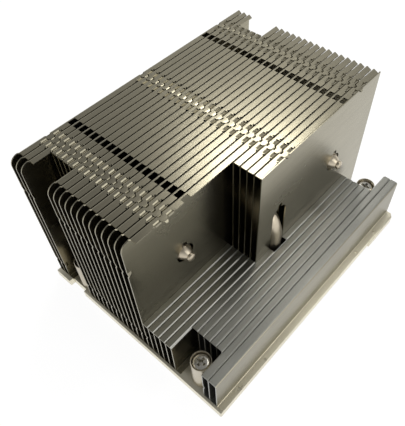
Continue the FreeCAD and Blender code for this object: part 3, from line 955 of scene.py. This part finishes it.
class HEATSINK_OT_base_plate(bpy.types.Operator):
    """Mill the base plate, with its ear, tab, screw holes, pockets and pipe grooves"""
    bl_idname = "heatsink.base_plate"
    bl_label = "Base plate"

    def execute(self, context):
        x0, y0, z0 = low("base_plate")
        x1, y1, z1 = high("base_plate")
        ear_length, ear_out, ear_corner = 17.3, 0.6, 1.1
        tab_width, tab_out = 10, 0.65
        notch_start, notch_end, notch_depth = 7.5, 14.8, 1.15
        side = x1 - ear_out
        edge = y0 + tab_out
        plate = block(x0, x1, y0, y1, z0, z1)
        carve(plate, block(side, x1 + 2, y0 - 1, y1 - ear_length, z0 - 1, z1 + 1))
        carve(plate, block(x0 + tab_width, x1 + 1, y0 - 2, edge, z0 - 2, z1 + 2))
        carve(plate, block(x0 + notch_start, x0 + notch_end, y0 - 1, edge + notch_depth,
                           z0 - 1, z1 + 1))
        carve(plate, rod(ear_corner, (x1, y1, z0 - 1), (x1, y1, z1 + 1), 4))
        apply(plate, "BEVEL", width=0.22, segments=2, limit_method="ANGLE")
        merge(plate)
        for place in CORNERS:
            screw_opening(plate, *axis_of("screw_cup_" + place), z0, z1)
        for name, y in PIPES.items():
            pipe_groove(plate, name, y, z1)
        finish(plate, "milled_base", "base_plate", "plated base")
        return {"FINISHED"}


# ---------------------------------------------------------------- screws and cups
class HEATSINK_OT_screw_cups(bpy.types.Operator):
    """Turn the four screw cups"""
    bl_idname = "heatsink.screw_cups"
    bl_label = "Screw cups"

    def execute(self, context):
        for place in CORNERS:
            node = "screw_cup_" + place
            bottom = low(node)[2]
            rim = high(node)[2]
            floor = bottom + 0.8
            outer, inner, collar = 3.4, 3.1, 0.12
            rings = [(SCREW_HOLE_R, bottom), (outer, bottom), (outer + collar, bottom + 0.1),
                     (outer + collar, bottom + 0.7), (outer, bottom + 0.95), (outer, rim - 0.15),
                     (outer - 0.12, rim), (3.16, rim), (inner, rim - 0.1), (inner, floor),
                     (SCREW_HOLE_R, floor), (SCREW_HOLE_R, bottom)]
            cup = lathe(rings, *axis_of(node), 56, closed=True)
            finish(cup, "turned_cup_" + place, node, "turned cup")
        return {"FINISHED"}


def coil_spring(node):
    """A round wire wound from the floor of the cup to the head of the screw."""
    wire, coil, turns, steps = 0.28, 2.52, 4, 24
    bottom = low(node)[2] + wire
    top = high(node)[2] - wire
    nothing()
    bpy.ops.mesh.primitive_circle_add(
        vertices=10, radius=wire, location=(coil, 0, bottom), rotation=(math.pi / 2, 0, 0))
    spring = bpy.context.object
    bpy.ops.object.transform_apply()
    apply(spring, "SCREW", axis="Z", angle=2 * math.pi, screw_offset=(top - bottom) / turns,
          iterations=turns, steps=steps, use_merge_vertices=False)
    edit_whole(spring)
    bpy.ops.mesh.remove_doubles(threshold=0.001)
    bpy.ops.mesh.fill_holes(sides=10)
    bpy.ops.mesh.normals_make_consistent(inside=False)
    move((*axis_of(node), 0))
    bpy.ops.object.mode_set(mode="OBJECT")
    return spring


class HEATSINK_OT_springs(bpy.types.Operator):
    """Wind the four springs"""
    bl_idname = "heatsink.springs"
    bl_label = "Springs"

    def execute(self, context):
        for place in CORNERS:
            node = "screw_spring_" + place
            spring = finish(coil_spring(node), "coil_spring_" + place, node,
                            "spring steel")
            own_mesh(spring)
        return {"FINISHED"}


class HEATSINK_OT_screws(bpy.types.Operator):
    """Turn the four captive screws, cut their cross recesses and finish their rings"""
    bl_idname = "heatsink.screws"
    bl_label = "Captive screws"

    def execute(self, context):
        for place in CORNERS:
            node = "captive_screw_" + place
            x, y = axis_of(node)
            top = high(node)[2]
            tip = low(node)[2]
            head = 2.2
            under = top - head
            rings = [(2.05, top), (2.35, top - 0.07), (2.6, top - 0.22), (2.77, top - 0.46),
                     (2.85, top - 0.8), (2.85, under + 0.1), (2.75, under), (1.9, under),
                     (1.9, 2.0), (1.4, 1.95), (1.4, 1.05), (1.88, 1.0), (1.88, tip + 0.3),
                     (1.55, tip)]
            screw = lathe(rings, x, y, 48)
            for turn in (0, math.pi / 2):
                carve(screw, cross_arm(x, y, top, turn))
            finish(screw, "bright_screw_" + place, node, "bright screw",
                   body="screw_" + place, smooth=25)
            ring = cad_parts["retaining_clip_" + place]
            ring.data.materials.clear()
            ring.data.materials.append(material("spring steel"))
        return {"FINISHED"}


def cross_arm(x, y, top, turn):
    """A cutter for one arm of a cross recess, tapered towards its floor."""
    half_length, half_width, floor = 1.95, 0.48, -1.5
    arm = block(-half_length, half_length, -half_width, half_width, floor, 0.5)
    bpy.ops.object.mode_set(mode="EDIT")
    pick(arm, "FACE", lambda px, py, pz: near(pz, floor))
    bpy.ops.transform.resize(value=(0.25, 0.7, 1), center_override=(0, 0, floor))
    bpy.ops.object.mode_set(mode="OBJECT")
    arm.rotation_euler = (0, 0, turn)
    arm.location = (x, y, top)
    bpy.ops.object.transform_apply()
    return arm


# ---------------------------------------------------------------- stage
def area_light(name, place, target, power, size, colour):
    """A soft rectangular light that faces a point."""
    light = bpy.data.lights.new(name, "AREA")
    light.shape = "RECTANGLE"
    light.size, light.size_y = size
    light.energy = power
    light.color = colour
    lamp = bpy.data.objects.new(name, light)
    bpy.context.scene.collection.objects.link(lamp)
    lamp.location = place
    away = lamp.location.copy()
    away.x -= target[0]
    away.y -= target[1]
    away.z -= target[2]
    lamp.rotation_euler = away.to_track_quat("Z", "Y").to_euler()


def seen_rays(tree):
    """1 for what the camera, glossy and clear surfaces see, 0 for other light."""
    path = tree.nodes.new("ShaderNodeLightPath")
    first = maths(tree, "MAXIMUM", path.outputs["Is Camera Ray"], path.outputs["Is Glossy Ray"])
    return path, maths(tree, "MAXIMUM", first, path.outputs["Is Transmission Ray"])


def studio_world(ceiling):
    """White all round, with a softer ceiling, and dimmer for the light that it gives."""
    ceiling_starts, given_light = 0.75, 0.45
    world = bpy.data.worlds.new("studio")
    bpy.context.scene.world = world
    world.use_nodes = True
    tree = world.node_tree
    background = tree.nodes["Background"]
    place = tree.nodes.new("ShaderNodeTexCoord")
    split = tree.nodes.new("ShaderNodeSeparateXYZ")
    tree.links.new(place.outputs["Generated"], split.inputs[0])
    fade = tree.nodes.new("ShaderNodeMapRange")
    fade.inputs["From Min"].default_value = 0.0
    fade.inputs["From Max"].default_value = ceiling_starts
    fade.inputs["To Min"].default_value = 1.0
    fade.inputs["To Max"].default_value = ceiling
    tree.links.new(split.outputs["Z"], fade.inputs["Value"])
    path, seen = seen_rays(tree)
    dome = maths(tree, "ADD", maths(tree, "MULTIPLY", fade.outputs[0], seen),
                 maths(tree, "MULTIPLY", maths(tree, "SUBTRACT", 1.0, seen), given_light))
    strength = maths(tree, "MAXIMUM", dome, path.outputs["Is Camera Ray"])
    background.inputs["Color"].default_value = (1.0, 1.0, 1.0, 1)
    tree.links.new(strength, background.inputs["Strength"])


def floor_finish(colour):
    """A pale matt floor that shows nearly white and keeps a soft shadow."""
    glow_strength, glow_share = 1.16, 0.78
    pale = bpy.data.materials.new("pale floor")
    pale.use_nodes = True
    tree = pale.node_tree
    tree.nodes.clear()
    end = tree.nodes.new("ShaderNodeOutputMaterial")
    matt = tree.nodes.new("ShaderNodeBsdfDiffuse")
    matt.inputs["Color"].default_value = (*colour, 1)
    glow = tree.nodes.new("ShaderNodeEmission")
    glow.inputs["Color"].default_value = (1, 1, 1, 1)
    glow.inputs["Strength"].default_value = glow_strength
    mix = tree.nodes.new("ShaderNodeMixShader")
    _, seen = seen_rays(tree)
    tree.links.new(maths(tree, "MULTIPLY", seen, glow_share), mix.inputs[0])
    tree.links.new(matt.outputs[0], mix.inputs[1])
    tree.links.new(glow.outputs[0], mix.inputs[2])
    tree.links.new(mix.outputs[0], end.inputs["Surface"])
    return pale


class HEATSINK_OT_stage(bpy.types.Operator):
    """Lay the floor and set the lights and the camera"""
    bl_idname = "heatsink.stage"
    bl_label = "Stage"

    def execute(self, context):
        settings = context.scene.heatsink_stage
        nothing()
        bpy.ops.mesh.primitive_plane_add(size=4, location=(0, 0, -0.0002))
        floor = context.object
        bpy.ops.object.transform_apply()
        floor.name = "floor"
        floor.data.materials.append(floor_finish(settings.floor))
        studio_world(settings.ceiling)
        for name, place, target, size, colour in LIGHTS:
            area_light(name, place, target, getattr(settings, name + "_light"), size, colour)

        camera = bpy.data.objects.new("camera", bpy.data.cameras.new("camera"))
        context.scene.collection.objects.link(camera)
        camera.location = (0.07428, -0.08655, 0.16277)
        camera.rotation_euler = (0.66023, 0.03010, 0.72879)
        camera.data.lens = 42.77
        camera.data.shift_x = -0.0216
        camera.data.shift_y = 0.0209
        camera.data.clip_start = 0.005
        context.scene.camera = camera
        context.scene.view_settings.view_transform = "Standard"
        return {"FINISHED"}


# ---------------------------------------------------------------- panel and registration
OPERATORS = (
    HEATSINK_OT_base_plate, HEATSINK_OT_tall_fins, HEATSINK_OT_stepped_fins, HEATSINK_OT_low_fins,
    HEATSINK_OT_heat_pipes, HEATSINK_OT_screw_cups, HEATSINK_OT_springs, HEATSINK_OT_screws,
    HEATSINK_OT_stage,
)


class HEATSINK_PT_panel(bpy.types.Panel):
    """The heatsink's pieces and their settings"""
    bl_idname = "HEATSINK_PT_panel"
    bl_label = "Heatsink"
    bl_space_type = "VIEW_3D"
    bl_region_type = "UI"
    bl_category = "Heatsink"

    def draw(self, context):
        for group in (context.scene.heatsink_fins, context.scene.heatsink_finish,
                      context.scene.heatsink_stage):
            box = self.layout.box()
            for name in group.__annotations__:
                box.prop(group, name)
        for operator in OPERATORS:
            self.layout.operator(operator.bl_idname)


SETTINGS = {"heatsink_fins": FinSettings, "heatsink_finish": FinishSettings,
            "heatsink_stage": StageSettings}


def register():
    """Register the settings, the operators and the panel."""
    for name, group in SETTINGS.items():
        bpy.utils.register_class(group)
        setattr(bpy.types.Scene, name, bpy.props.PointerProperty(type=group))
    for item in (*OPERATORS, HEATSINK_PT_panel):
        bpy.utils.register_class(item)


def unregister():
    """Undo what register did."""
    for item in (HEATSINK_PT_panel, *reversed(OPERATORS)):
        bpy.utils.unregister_class(item)
    for name, group in reversed(SETTINGS.items()):
        delattr(bpy.types.Scene, name)
        bpy.utils.unregister_class(group)


def main():
    """Register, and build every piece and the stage."""
    register()
    for operator in OPERATORS:
        family, name = operator.bl_idname.split(".")
        getattr(getattr(bpy.ops, family), name)()
    nothing()


if __name__ == "__main__":
    main()
